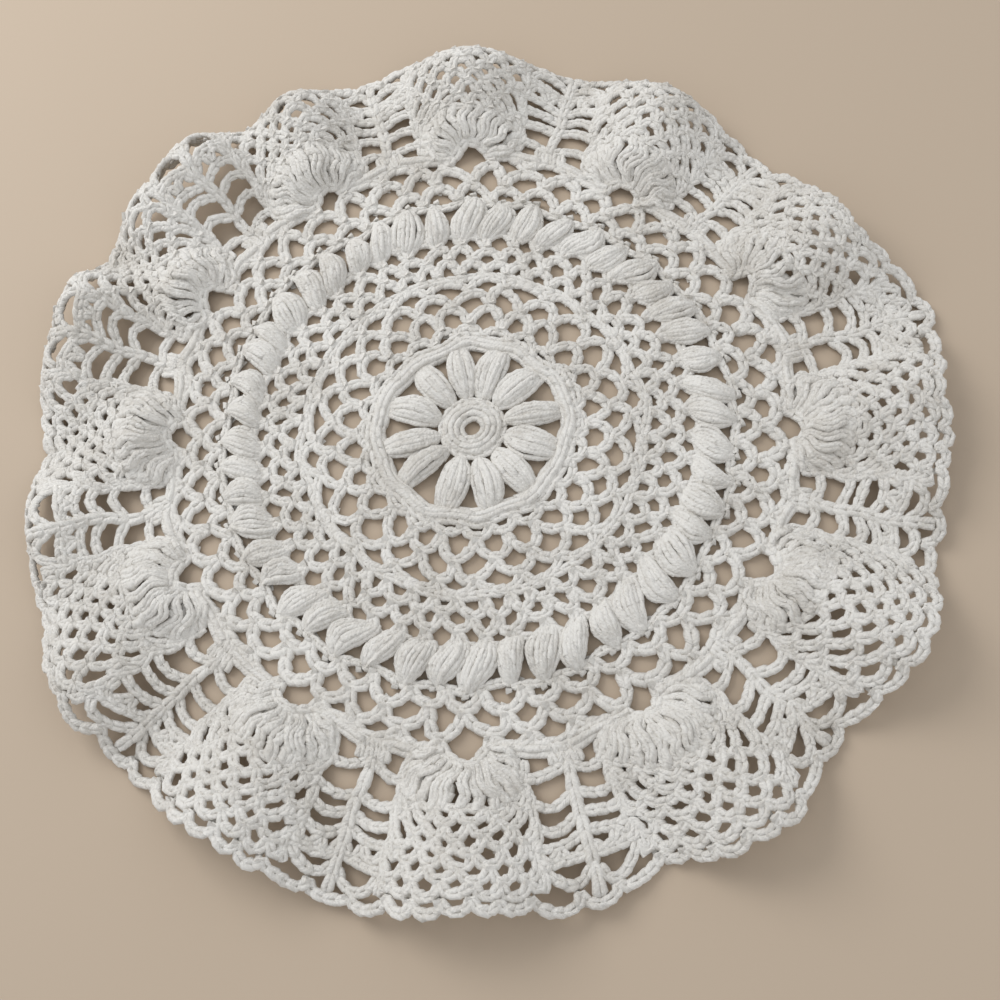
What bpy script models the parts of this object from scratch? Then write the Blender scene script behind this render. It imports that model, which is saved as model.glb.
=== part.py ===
"""A round ruffled lace doily of thick cotton, crocheted from the middle outwards in one piece.

The lace is first drawn flat, as a chart: an outline and the gaps of each round, in polar places
about the middle. The chart is cut into triangles, and a drape then lays each point of it where
it comes to rest: flat inside, with twelve puffed fans and an uneven ruffled rim outside.
Lengths are metres and angles are degrees, anticlockwise from +X. The cloth rests on z = 0, and
the origin is under the middle of its box.
"""

import math
from collections import namedtuple

import bmesh
import bpy
import numpy as np
from mathutils import Vector
from mathutils.geometry import delaunay_2d_cdt

# ---- driving sizes -------------------------------------------------------------------------

THICKNESS = 0.0026  # a crocheted chain, measured through the cloth
FAN_RING = 0.117  # from the middle to the ring of twelve fan feet
RIM = 0.1755  # from the middle to the edge, along the cloth
FANS_ROUND = 12
REPEAT = 360 / FANS_ROUND

COTTON_COLOUR = (0.78, 0.76, 0.71, 1.0)
COTTON_ROUGHNESS = 0.9
SMOOTH_LIMIT = 50  # edges sharper than this stay sharp when shaded

# ---- gaps of the open rounds ---------------------------------------------------------------

NetRound = namedtuple("NetRound", "radius loops first_angle length width")
NET_ROUNDS = (
    NetRound(0.0463, 24, 9.5, 0.0078, 0.0088),
    NetRound(0.0546, 24, 2.5, 0.0068, 0.0094),
    NetRound(0.1013, 48, 0.0, 0.0056, 0.0068),
    NetRound(0.1087, 48, 3.75, 0.0064, 0.0078),
    NetRound(0.1162, 12, 15.0, 0.0058, 0.0070),
)
NET_GAP_CORNERS = 6

CENTRE_GAP_RADIUS = 0.0024
CENTRE_GAP_CORNERS = 8

FAN_FOOT_GAP_RADIUS = 0.1187
FAN_FOOT_GAP_LENGTH = 0.0086
FAN_FOOT_GAP_WIDTH = 0.0098
FAN_FOOT_GAP_CORNERS = 8

PETAL_GAP_INNER = 0.0212
PETAL_GAP_OUTER = 0.0322
PETAL_GAP_ANGLE = 26.0  # of the first gap; the petals stand midway between gaps
PETAL_GAP_SPREAD = 6.6

# Gaps of the valley beside each column: angles are from the column's middle, on both sides.
ValleyGap = namedtuple("ValleyGap", "inner outer near far slant")
VALLEY_WEDGE = ValleyGap(0.1205, 0.1272, 1.9, 9.0, 0.0014)
VALLEY_GAPS = (
    ValleyGap(0.1292, 0.1358, 1.2, 5.4, 0.0012),
    ValleyGap(0.1386, 0.1440, 1.2, 5.6, 0.0008),
    ValleyGap(0.1468, 0.1514, 1.2, 5.6, 0.0006),
    ValleyGap(0.1640, 0.1700, 1.6, 5.4, 0.0004),
)
CLOSED_RIM_VALLEY = 0  # at this valley the rim's own gaps are drawn shut

# ---- edge arches ---------------------------------------------------------------------------

MESH_ARCHES = 5  # of each fan's netted top
MESH_ARCH_SPAN = 3.6
VALLEY_ARCHES = 2  # between one fan's netting and the next
ARCH_DEPTH = 0.0030
ARCH_SHOULDER = 0.28  # where an arch has turned, as a share of its width

# ---- raised work on the face ---------------------------------------------------------------

Lump = namedtuple("Lump", "radius side height")  # side is a share of half the lump's spacing
PETAL_LUMP = (
    Lump(0.0152, 0.0, 0.0020),
    Lump(0.0205, -0.36, 0.0040),
    Lump(0.0205, 0.36, 0.0040),
    Lump(0.0268, -0.34, 0.0044),
    Lump(0.0268, 0.34, 0.0044),
    Lump(0.0315, 0.0, 0.0022),
    Lump(0.0165, 1.0, 0.0004),
)
RING_LUMP = (Lump(0.0350, 0.0, 0.0016), Lump(0.0350, 1.0, 0.0010))
CENTRE_LUMP = (Lump(0.0065, 0.0, 0.0010), Lump(0.0105, 1.0, 0.0004))
POPCORNS_ROUND = 48
POPCORN_ANGLE = 2.6  # of the first one's middle; each leans back to its tip
POPCORN_LUMP = (
    Lump(0.0848, 0.0, 0.0036),
    Lump(0.0896, -0.50, 0.0046),
    Lump(0.0896, 0.42, 0.0050),
    Lump(0.0944, -0.25, 0.0046),
    Lump(0.0984, -0.40, 0.0016),
    Lump(0.0915, 1.0, 0.0000),
)
TREBLE_RIDGES = 7  # of each fan; two or three trebles lie together in a ridge
TREBLE_SPREAD_FOOT = 4.2
TREBLE_SPREAD_TOP = 8.2
TREBLE_FOOT = 0.1265
TREBLE_TOP = 0.1345
TREBLE_HEIGHT = 0.0014

# ---- drape ---------------------------------------------------------------------------------

# Where each fan's foot has come to lie, and how high its trebles puff up.
Fan = namedtuple("Fan", "angle radius puff")
FANS = (
    Fan(359.0, 0.1170, 0.0085),
    Fan(28.6, 0.1179, 0.0095),
    Fan(59.7, 0.1152, 0.0090),
    Fan(91.5, 0.1207, 0.0095),
    Fan(120.8, 0.1188, 0.0095),
    Fan(150.9, 0.1172, 0.0100),
    Fan(180.7, 0.1119, 0.0110),
    Fan(208.5, 0.1159, 0.0095),
    Fan(239.4, 0.1169, 0.0090),
    Fan(269.6, 0.1181, 0.0080),
    Fan(300.2, 0.1185, 0.0095),
    Fan(331.6, 0.1164, 0.0100),
)
PUFF_HALF_WIDTH = 11.5
PUFF_START = 0.1165
PUFF_FULL = 0.1340

# Crests and hollows of the ruffle, met at the rim, how far out the rim would reach there, and
# how much of a full curl the rim turns down by. A hollow of no height comes down to the surface.
Fold = namedtuple("Fold", "angle height reach curl")
FOLDS = (
    Fold(2.0, 0.0150, 0.1710, 0.0),
    Fold(15.0, 0.0000, 0.1780, 0.0),
    Fold(28.0, 0.0180, 0.1630, 0.1),
    Fold(46.0, 0.0000, 0.1600, 0.0),
    Fold(60.0, 0.0200, 0.1640, 0.6),
    Fold(75.0, 0.0020, 0.1640, 0.2),
    Fold(91.0, 0.0230, 0.1660, 0.8),
    Fold(108.0, 0.0000, 0.1670, 0.0),
    Fold(118.0, 0.0190, 0.1700, 0.8),
    Fold(125.0, 0.0090, 0.1710, 0.7),
    Fold(134.0, 0.0240, 0.1750, 1.0),
    Fold(144.0, 0.0190, 0.1750, 1.0),
    Fold(152.0, 0.0000, 0.1720, 0.2),
    Fold(160.0, 0.0220, 0.1750, 1.0),
    Fold(169.0, 0.0150, 0.1750, 0.9),
    Fold(181.0, 0.0000, 0.1650, 0.0),
    Fold(193.0, 0.0160, 0.1710, 0.7),
    Fold(204.0, 0.0080, 0.1720, 0.4),
    Fold(216.0, 0.0160, 0.1770, 0.3),
    Fold(227.0, 0.0000, 0.1730, 0.0),
    Fold(241.0, 0.0180, 0.1720, 0.0),
    Fold(256.0, 0.0020, 0.1760, 0.0),
    Fold(270.0, 0.0190, 0.1730, 0.0),
    Fold(284.0, 0.0040, 0.1755, 0.0),
    Fold(292.5, 0.0000, 0.1700, 0.0),
    Fold(304.0, 0.0180, 0.1795, 0.0),
    Fold(317.0, 0.0000, 0.1710, 0.0),
    Fold(331.0, 0.0200, 0.1780, 0.0),
    Fold(342.0, 0.0010, 0.1720, 0.0),
    Fold(352.0, 0.0097, 0.1710, 0.0),
)
RUFFLE_START = 0.1270
RUFFLE_FULL = 0.1690
CURL_START = 0.1580
CURL_RADIUS = 0.0120
LANDING = 0.0003  # cloth that would clear the surface by less than this lies on it
SETTLE_START = 0.070  # rounds inside this lie where the chart has them
SLOPE_STEP = 0.0004  # step over which the cloth's slope is measured

# Points inside the fans that let the sheet bend: radius, and how many across a fan.
BendRow = namedtuple("BendRow", "radius across half_span")
BEND_ROWS = (
    BendRow(0.1225, 2, 3.0),
    BendRow(0.1425, 5, 8.6),
    BendRow(0.1510, 5, 8.6),
    BendRow(0.1595, 5, 8.6),
    BendRow(0.1675, 6, 8.4),
)
COLUMN_BEND_RADII = (0.1250, 0.1372, 0.1490, 0.1590)
SHOULDER_BEND_RADII = (0.1545, 0.1600)
SHOULDER_BEND_ANGLE = 3.4


# ---- chart ---------------------------------------------------------------------------------


def chart_point(radius, angle):
    """A point of the flat chart."""
    turn = math.radians(angle)
    return (radius * math.cos(turn), radius * math.sin(turn))


def oval(radius, angle, length, width, corners):
    """A gap of a few corners, length along the radius and width across it."""
    points = []
    for corner in range(corners):
        turn = 2 * math.pi * corner / corners
        across = math.degrees(width / 2 * math.cos(turn) / radius)
        points.append(chart_point(radius + length / 2 * math.sin(turn), angle + across))
    return points


def net_gaps():
    """The gap under each chain loop of the wide net rounds."""
    gaps = []
    for row in NET_ROUNDS:
        for loop in range(row.loops):
            angle = row.first_angle + 360 * loop / row.loops
            gaps.append(oval(row.radius, angle, row.length, row.width, NET_GAP_CORNERS))
    return gaps


def centre_gap():
    """The round hole that the first stitches are worked into."""
    turns = range(CENTRE_GAP_CORNERS)
    return [chart_point(CENTRE_GAP_RADIUS, 360 * turn / CENTRE_GAP_CORNERS) for turn in turns]


def petal_gap(angle):
    """The gap between two petals: a point inwards and a broad curved side outwards."""
    waist = (PETAL_GAP_INNER + 2 * PETAL_GAP_OUTER) / 3
    spread = PETAL_GAP_SPREAD
    return [
        chart_point(PETAL_GAP_INNER, angle),
        chart_point(waist, angle + 0.62 * spread),
        chart_point(PETAL_GAP_OUTER, angle + spread),
        chart_point(PETAL_GAP_OUTER, angle - spread),
        chart_point(waist, angle - 0.62 * spread),
    ]


def valley_gap(gap, angle, side):
    """A gap between two rungs of a valley's ladder, on one side of its column."""
    middle = angle + side * (gap.near + gap.far) / 2
    near, far = angle + side * gap.near, angle + side * gap.far
    return [
        chart_point(gap.inner, near),
        chart_point(gap.inner + gap.slant, far),
        chart_point(gap.outer, far),
        chart_point(gap.outer + gap.slant, middle),
        chart_point(gap.outer, near),
    ]


def valley_wedge(gap, angle, side):
    """The low wedge between a fan's foot and the solid block under a column."""
    middle = angle + side * (gap.near + gap.far) / 2
    return [
        chart_point(gap.inner, angle + side * gap.near),
        chart_point(gap.inner, angle + side * gap.far),
        chart_point(gap.outer + gap.slant, middle),
        chart_point(gap.outer, angle + side * gap.near),
    ]


def all_gaps():
    """Every gap that is cut through the cloth, as closed rings of chart points."""
    gaps = net_gaps() + [centre_gap()]
    for repeat in range(FANS_ROUND):
        fan = REPEAT * repeat
        valley = fan + REPEAT / 2
        gaps.append(petal_gap(fan + PETAL_GAP_ANGLE))
        gaps.append(
            oval(FAN_FOOT_GAP_RADIUS, fan, FAN_FOOT_GAP_LENGTH, FAN_FOOT_GAP_WIDTH, FAN_FOOT_GAP_CORNERS)
        )
        rungs = VALLEY_GAPS[:-1] if repeat == CLOSED_RIM_VALLEY else VALLEY_GAPS
        for side in (-1, 1):
            gaps.append(valley_wedge(VALLEY_WEDGE, valley, side))
            gaps.extend(valley_gap(gap, valley, side) for gap in rungs)
    return gaps


def edge_outline():
    """The edge: a run of small arches, narrow over the fans and wider over the valleys."""
    mesh_span = MESH_ARCHES * MESH_ARCH_SPAN
    valley_span = (REPEAT - mesh_span) / VALLEY_ARCHES
    spans = [MESH_ARCH_SPAN] * MESH_ARCHES + [valley_span] * VALLEY_ARCHES
    points = []
    start = -mesh_span / 2
    for _ in range(FANS_ROUND):
        for span in spans:
            points.append(chart_point(RIM - ARCH_DEPTH, start))
            points.append(chart_point(RIM, start + ARCH_SHOULDER * span))
            points.append(chart_point(RIM, start + (1 - ARCH_SHOULDER) * span))
            start += span
    return points


def bend_points():
    """Points of both faces that let the fans and valleys bend."""
    points = []
    for repeat in range(FANS_ROUND):
        fan = REPEAT * repeat
        valley = fan + REPEAT / 2
        for row in BEND_ROWS:
            for angle in np.linspace(-row.half_span, row.half_span, row.across):
                points.append(chart_point(row.radius, fan + angle))
        points.extend(chart_point(radius, valley) for radius in COLUMN_BEND_RADII)
        for radius in SHOULDER_BEND_RADII:
            for side in (-1, 1):
                points.append(chart_point(radius, valley + side * SHOULDER_BEND_ANGLE))
    return points


# ---- raised work ---------------------------------------------------------------------------


def round_of_lumps(lumps, count, first_angle):
    """The raised points of a round of like lumps, each with its height over the cloth."""
    spacing = 360 / count
    raised = []
    for number in range(count):
        for lump in lumps:
            angle = first_angle + spacing * (number + lump.side / 2)
            raised.append((chart_point(lump.radius, angle), lump.height))
    return raised


def treble_ridges(fan):
    """Ridges and furrows of a fan's trebles, spreading from its foot."""
    lines = 2 * TREBLE_RIDGES - 1
    raised = []
    for line in range(lines):
        share = 2 * line / (lines - 1) - 1
        height = TREBLE_HEIGHT if line % 2 == 0 else 0.0
        raised.append((chart_point(TREBLE_FOOT, fan + share * TREBLE_SPREAD_FOOT), height))
        raised.append((chart_point(TREBLE_TOP, fan + share * TREBLE_SPREAD_TOP), height))
    return raised


def raised_points():
    """Points of the face alone, where petals, popcorns and trebles stand up from the cloth."""
    petal_angle = PETAL_GAP_ANGLE - REPEAT / 2
    raised = round_of_lumps(CENTRE_LUMP, FANS_ROUND, petal_angle)
    raised += round_of_lumps(PETAL_LUMP, FANS_ROUND, petal_angle)
    raised += round_of_lumps(RING_LUMP, FANS_ROUND, petal_angle)
    raised += round_of_lumps(POPCORN_LUMP, POPCORNS_ROUND, POPCORN_ANGLE)
    for repeat in range(FANS_ROUND):
        raised += treble_ridges(REPEAT * repeat)
    return raised


# ---- drape ---------------------------------------------------------------------------------


def ease(value, start, end):
    """0 before start, 1 after end, and a smooth rise between them."""
    share = np.clip((value - start) / (end - start), 0.0, 1.0)
    return share * share * (3 - 2 * share)


def round_table(angle, rows, column):
    """A column of a table of rows round the circle, eased from each row to the next."""
    angles = np.array([row.angle for row in rows])
    values = np.array([getattr(row, column) for row in rows])
    first = np.argmin(angles)
    angles, values = np.roll(angles, -first), np.roll(values, -first)
    angles = np.concatenate([angles[-1:] - 360, angles, angles[:1] + 360])
    values = np.concatenate([values[-1:], values, values[:1]])
    place = np.mod(angle, 360)
    after = np.clip(np.searchsorted(angles, place, side="right"), 1, len(angles) - 1)
    rise = ease(place, angles[after - 1], angles[after])
    return values[after - 1] + rise * (values[after] - values[after - 1])


def fan_shifts():
    """How far each fan has turned from its even place in the chart."""
    Shift = namedtuple("Shift", "angle turn")
    shifts = []
    for number, fan in enumerate(FANS):
        turn = (fan.angle - REPEAT * number + 180) % 360 - 180
        shifts.append(Shift(REPEAT * number, turn))
    return shifts


SHIFTS = fan_shifts()


def lay(points):
    """Where chart points come to rest, on the cloth's under face."""
    radius = np.hypot(points[:, 0], points[:, 1])
    angle = np.degrees(np.arctan2(points[:, 1], points[:, 0]))
    settled = ease(radius, SETTLE_START, FAN_RING)
    turned = angle + round_table(angle, SHIFTS, "turn") * settled
    ring = round_table(turned, FANS, "radius")
    stretch = 1 + (ring / FAN_RING - 1) * settled
    inside = radius * stretch
    reach = round_table(turned, FOLDS, "reach")
    outside = ring + (radius - FAN_RING) * (reach - ring) / (RIM - FAN_RING)
    bend = round_table(turned, FOLDS, "curl")
    past = np.maximum(radius - CURL_START, 0.0)
    outside = outside - bend * past**3 / (6 * CURL_RADIUS**2)
    laid = np.where(radius < FAN_RING, inside, outside)

    repeat_place = np.mod(angle + REPEAT / 2, REPEAT) - REPEAT / 2
    across = np.clip(repeat_place / PUFF_HALF_WIDTH, -1, 1)
    ruffle = ease(radius, RUFFLE_START, RUFFLE_FULL)
    puff = round_table(turned, FANS, "puff") * np.cos(math.pi / 2 * across) ** 2
    puff = puff * ease(radius, PUFF_START, PUFF_FULL) * (1 - ruffle)
    height = puff + round_table(turned, FOLDS, "height") * ruffle
    height = height - bend * past**2 / (2 * CURL_RADIUS)
    height = np.maximum(height - LANDING, 0.0)

    turn = np.radians(turned)
    return np.stack([laid * np.cos(turn), laid * np.sin(turn), height], axis=1)


def upright(points):
    """The unit direction out of the cloth's face at chart points."""
    step = np.array([SLOPE_STEP, 0.0])
    along_x = lay(points + step) - lay(points - step)
    along_y = lay(points + step[::-1]) - lay(points - step[::-1])
    normal = np.cross(along_x, along_y)
    return normal / np.linalg.norm(normal, axis=1, keepdims=True)


# ---- solid ---------------------------------------------------------------------------------


def inside_lace(places, rings):
    """Whether each place is on cloth: a line from it crosses the rings an odd number of times."""
    starts = np.concatenate(rings)
    ends = np.concatenate([np.roll(ring, -1, axis=0) for ring in rings])
    x, y = places[:, 0:1], places[:, 1:2]
    spans = (starts[:, 1] > y) != (ends[:, 1] > y)
    rise = np.where(ends[:, 1] == starts[:, 1], 1.0, ends[:, 1] - starts[:, 1])
    crossing = starts[:, 0] + (y - starts[:, 1]) * (ends[:, 0] - starts[:, 0]) / rise
    return np.count_nonzero(spans & (x < crossing), axis=1) % 2 == 1


def cut_triangles(rings, inner):
    """Triangles of the cloth between the rings, through the inner points too."""
    places = np.concatenate(rings + [inner])
    edges = []
    start = 0
    for ring in rings:
        count = len(ring)
        edges.extend((start + index, start + (index + 1) % count) for index in range(count))
        start += count
    cut = delaunay_2d_cdt([Vector(place) for place in places], edges, [], 0, 1e-9)
    if len(cut[0]) != len(places):
        raise ValueError("two chart points or gaps meet")
    triangles = np.array([triangle for triangle in cut[2]])
    middles = places[triangles].mean(axis=1)
    return places, triangles[inside_lace(middles, rings)], edges


def doily_mesh():
    """The closed solid: face, under face, and a wall round the edge and round each gap."""
    rings = [np.array(edge_outline())] + [np.array(gap) for gap in all_gaps()]
    bends = np.array(bend_points())
    raised = raised_points()
    raised_places = np.array([place for place, _ in raised])
    over = np.array([height for _, height in raised])

    face_places, face_triangles, walls = cut_triangles(rings, np.concatenate([bends, raised_places]))
    under_places, under_triangles, _ = cut_triangles(rings, bends)
    lift = np.full(len(face_places), THICKNESS)
    lift[-len(over):] += over
    face = lay(face_places) + upright(face_places) * lift[:, None]
    under = lay(under_places)

    mesh = bmesh.new()
    face_points = [mesh.verts.new(point) for point in face]
    under_points = [mesh.verts.new(point) for point in under]
    for triangle in face_triangles:
        mesh.faces.new([face_points[index] for index in triangle])
    for triangle in under_triangles:
        mesh.faces.new([under_points[index] for index in reversed(triangle)])
    for start, end in walls:
        mesh.faces.new((face_points[start], face_points[end], under_points[end], under_points[start]))
    bmesh.ops.recalc_face_normals(mesh, faces=mesh.faces)
    bmesh.ops.triangulate(mesh, faces=mesh.faces)
    return mesh


def centre_on_box(mesh):
    """Moves the cloth so that its box is centred over the origin."""
    places = np.array([point.co[:] for point in mesh.verts])
    middle = (places.min(axis=0) + places.max(axis=0)) / 2
    bmesh.ops.translate(mesh, verts=mesh.verts, vec=(-middle[0], -middle[1], 0.0))


def cotton():
    """Undyed cotton: warm off-white and matt."""
    material = bpy.data.materials.new("cotton")
    material.use_nodes = True
    shader = material.node_tree.nodes["Principled BSDF"]
    shader.inputs["Base Color"].default_value = COTTON_COLOUR
    shader.inputs["Roughness"].default_value = COTTON_ROUGHNESS
    shader.inputs["Metallic"].default_value = 0.0
    return material


def main():
    for thing in list(bpy.data.objects):
        bpy.data.objects.remove(thing, do_unlink=True)
    solid = doily_mesh()
    centre_on_box(solid)
    data = bpy.data.meshes.new("doily")
    solid.to_mesh(data)
    solid.free()
    data.materials.append(cotton())
    data.shade_smooth()
    data.set_sharp_from_angle(angle=math.radians(SMOOTH_LIMIT))
    bpy.context.collection.objects.link(bpy.data.objects.new("doily", data))


main()
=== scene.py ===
# %% [markdown]
# # A crocheted lace doily, stitch by stitch
# This lesson dresses a plain solid of a doily with real yarn. A doily is one long cotton yarn,
# looped with a hook, so every part of it is one of a few shapes: the chain, the plain strand
# and the knot. We model each of those once, by hand, and then lay thousands of copies of them
# along the paths that the yarn takes.

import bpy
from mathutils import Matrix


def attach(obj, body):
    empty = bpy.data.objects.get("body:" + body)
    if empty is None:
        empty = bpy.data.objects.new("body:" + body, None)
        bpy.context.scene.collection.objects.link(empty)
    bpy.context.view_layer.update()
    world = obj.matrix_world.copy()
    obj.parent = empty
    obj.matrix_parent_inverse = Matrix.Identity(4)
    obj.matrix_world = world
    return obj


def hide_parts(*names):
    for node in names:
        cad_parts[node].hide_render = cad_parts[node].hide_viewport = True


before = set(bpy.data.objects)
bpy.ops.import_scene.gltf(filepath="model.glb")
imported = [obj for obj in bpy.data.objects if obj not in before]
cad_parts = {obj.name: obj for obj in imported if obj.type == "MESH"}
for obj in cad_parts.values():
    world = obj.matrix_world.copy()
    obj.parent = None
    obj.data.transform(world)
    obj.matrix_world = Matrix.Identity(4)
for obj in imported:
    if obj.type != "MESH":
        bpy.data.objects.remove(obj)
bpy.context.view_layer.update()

# %% Tools of the lesson
import math
from collections import namedtuple

import bpy
import numpy as np
from mathutils import Matrix, Vector

chance = np.random.default_rng(12)


def deselect():
    """Nothing stays selected, so the next operator acts on the new piece alone."""
    bpy.ops.object.select_all(action="DESELECT")


# %% [markdown]
# ## The chart
# Lace is easiest to plan flat. A place in the chart is a distance from the middle along the
# cloth and an angle round it. The twelve fans of the real doily have drifted a little from
# their even places, and its rim has far more length than the circle it lies on, so it ruffles.
# Two short tables hold that: one row for each fan, and one for each fold of the rim.

# %% Fans and folds
THICKNESS = 0.0026
FAN_RING = 0.117
RIM = 0.1755
REPEATS = 12
REPEAT = 360 / REPEATS

Fan = namedtuple("Fan", "angle radius puff")
FANS = (
    Fan(359.0, 0.1170, 0.0085),
    Fan(28.6, 0.1179, 0.0095),
    Fan(59.7, 0.1152, 0.0090),
    Fan(91.5, 0.1207, 0.0095),
    Fan(120.8, 0.1188, 0.0095),
    Fan(150.9, 0.1172, 0.0100),
    Fan(180.7, 0.1119, 0.0110),
    Fan(208.5, 0.1159, 0.0095),
    Fan(239.4, 0.1169, 0.0090),
    Fan(269.6, 0.1181, 0.0080),
    Fan(300.2, 0.1185, 0.0095),
    Fan(331.6, 0.1164, 0.0100),
)
Fold = namedtuple("Fold", "angle height reach curl")
FOLDS = (
    Fold(2.0, 0.0150, 0.1710, 0.0),
    Fold(15.0, 0.0000, 0.1780, 0.0),
    Fold(28.0, 0.0180, 0.1630, 0.1),
    Fold(46.0, 0.0000, 0.1600, 0.0),
    Fold(60.0, 0.0200, 0.1640, 0.6),
    Fold(75.0, 0.0020, 0.1640, 0.2),
    Fold(91.0, 0.0230, 0.1660, 0.8),
    Fold(108.0, 0.0000, 0.1670, 0.0),
    Fold(118.0, 0.0190, 0.1700, 0.8),
    Fold(125.0, 0.0090, 0.1710, 0.7),
    Fold(134.0, 0.0240, 0.1750, 1.0),
    Fold(144.0, 0.0190, 0.1750, 1.0),
    Fold(152.0, 0.0000, 0.1720, 0.2),
    Fold(160.0, 0.0220, 0.1750, 1.0),
    Fold(169.0, 0.0150, 0.1750, 0.9),
    Fold(181.0, 0.0000, 0.1650, 0.0),
    Fold(193.0, 0.0160, 0.1710, 0.7),
    Fold(204.0, 0.0080, 0.1720, 0.4),
    Fold(216.0, 0.0160, 0.1770, 0.3),
    Fold(227.0, 0.0000, 0.1730, 0.0),
    Fold(241.0, 0.0180, 0.1720, 0.0),
    Fold(256.0, 0.0020, 0.1760, 0.0),
    Fold(270.0, 0.0190, 0.1730, 0.0),
    Fold(284.0, 0.0040, 0.1755, 0.0),
    Fold(292.5, 0.0000, 0.1700, 0.0),
    Fold(304.0, 0.0180, 0.1795, 0.0),
    Fold(317.0, 0.0000, 0.1710, 0.0),
    Fold(331.0, 0.0200, 0.1780, 0.0),
    Fold(342.0, 0.0010, 0.1720, 0.0),
    Fold(352.0, 0.0097, 0.1710, 0.0),
)
print(len(FANS), "fans and", len(FOLDS), "folds")

# %% [markdown]
# ## From the chart to the table
# The drape is a sum of soft steps. Every fold eases into the next, each fan puffs up between
# its neighbours, and whatever would hang just over the surface lies down on it. We could let
# a cloth simulation find such a shape, but then the solid and the yarn would not agree, so
# both read the same tables.

# %% Drape
PUFF_HALF_WIDTH = 11.5
PUFF_START = 0.1165
PUFF_FULL = 0.1340
RUFFLE_START = 0.1270
RUFFLE_FULL = 0.1690
CURL_START = 0.1580
CURL_RADIUS = 0.0120
LANDING = 0.0003
SETTLE_START = 0.070
SLOPE_STEP = 0.0004


def ease(value, start, end):
    """0 before start, 1 after end, and a smooth rise between them."""
    share = np.clip((value - start) / (end - start), 0.0, 1.0)
    return share * share * (3 - 2 * share)


def round_table(angle, rows, column):
    """A column of a table of rows round the circle, eased from each row to the next."""
    angles = np.array([row.angle for row in rows])
    values = np.array([getattr(row, column) for row in rows])
    first = np.argmin(angles)
    angles, values = np.roll(angles, -first), np.roll(values, -first)
    angles = np.concatenate([angles[-1:] - 360, angles, angles[:1] + 360])
    values = np.concatenate([values[-1:], values, values[:1]])
    place = np.mod(angle, 360)
    after = np.clip(np.searchsorted(angles, place, side="right"), 1, len(angles) - 1)
    rise = ease(place, angles[after - 1], angles[after])
    return values[after - 1] + rise * (values[after] - values[after - 1])


def fan_shifts():
    """How far each fan has turned from its even place in the chart."""
    Shift = namedtuple("Shift", "angle turn")
    shifts = []
    for number, fan in enumerate(FANS):
        turn = (fan.angle - REPEAT * number + 180) % 360 - 180
        shifts.append(Shift(REPEAT * number, turn))
    return shifts


SHIFTS = fan_shifts()


def lay(points):
    """Where chart points come to rest, on the cloth's under face."""
    radius = np.hypot(points[:, 0], points[:, 1])
    angle = np.degrees(np.arctan2(points[:, 1], points[:, 0]))
    settled = ease(radius, SETTLE_START, FAN_RING)
    turned = angle + round_table(angle, SHIFTS, "turn") * settled
    ring = round_table(turned, FANS, "radius")
    stretch = 1 + (ring / FAN_RING - 1) * settled
    inside = radius * stretch
    reach = round_table(turned, FOLDS, "reach")
    outside = ring + (radius - FAN_RING) * (reach - ring) / (RIM - FAN_RING)
    bend = round_table(turned, FOLDS, "curl")
    past = np.maximum(radius - CURL_START, 0.0)
    outside = outside - bend * past**3 / (6 * CURL_RADIUS**2)
    laid = np.where(radius < FAN_RING, inside, outside)

    repeat_place = np.mod(angle + REPEAT / 2, REPEAT) - REPEAT / 2
    across = np.clip(repeat_place / PUFF_HALF_WIDTH, -1, 1)
    ruffle = ease(radius, RUFFLE_START, RUFFLE_FULL)
    puff = round_table(turned, FANS, "puff") * np.cos(math.pi / 2 * across) ** 2
    puff = puff * ease(radius, PUFF_START, PUFF_FULL) * (1 - ruffle)
    height = puff + round_table(turned, FOLDS, "height") * ruffle
    height = height - bend * past**2 / (2 * CURL_RADIUS)
    height = np.maximum(height - LANDING, 0.0)

    turn = np.radians(turned)
    return np.stack([laid * np.cos(turn), laid * np.sin(turn), height], axis=1)


def upright(points):
    """The unit direction out of the cloth's face at chart points."""
    step = np.array([SLOPE_STEP, 0.0])
    along_x = lay(points + step) - lay(points - step)
    along_y = lay(points + step[::-1]) - lay(points - step[::-1])
    normal = np.cross(along_x, along_y)
    return normal / np.linalg.norm(normal, axis=1, keepdims=True)


# %% [markdown]
# ## One shared middle
# The solid is centred under its own box. We drape the chart's rim, see how far its box is
# from the solid's, and shift every stitch by that much, so the yarn lies in the solid.

# %% Finding the middle
def polar(radius, angle):
    """Chart points from distances and angles, of any shape."""
    turn = np.radians(angle)
    return np.stack([radius * np.cos(turn), radius * np.sin(turn)], axis=-1)


rim_line = polar(np.full(2880, RIM), np.linspace(0, 360, 2880, endpoint=False))
rim_faces = np.concatenate([lay(rim_line), lay(rim_line) + upright(rim_line) * THICKNESS])
rim_middle = (rim_faces.min(axis=0) + rim_faces.max(axis=0)) / 2
MIDDLE = np.array([-rim_middle[0], -rim_middle[1], 0.0])
print("shift to the solid's middle, mm:", np.round(1000 * MIDDLE, 2))

# %% [markdown]
# ## Pulling yarn with the extrude tool
# A length of yarn is a small ring of points, extruded from step to step and turned to face
# its way, as you would by hand with E and R. Its ends are filled, so each length is closed.

# %% Yarn tools
YARN = 0.0021
MOST_SIDES = 8


def start_ring(place, heading, thickness, sides):
    """Adds a ring across the yarn, which runs along heading, in degrees from +X."""
    bpy.ops.mesh.primitive_circle_add(
        vertices=sides,
        radius=thickness / 2,
        location=place,
        rotation=(0, math.pi / 2, math.radians(heading)),
    )


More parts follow.
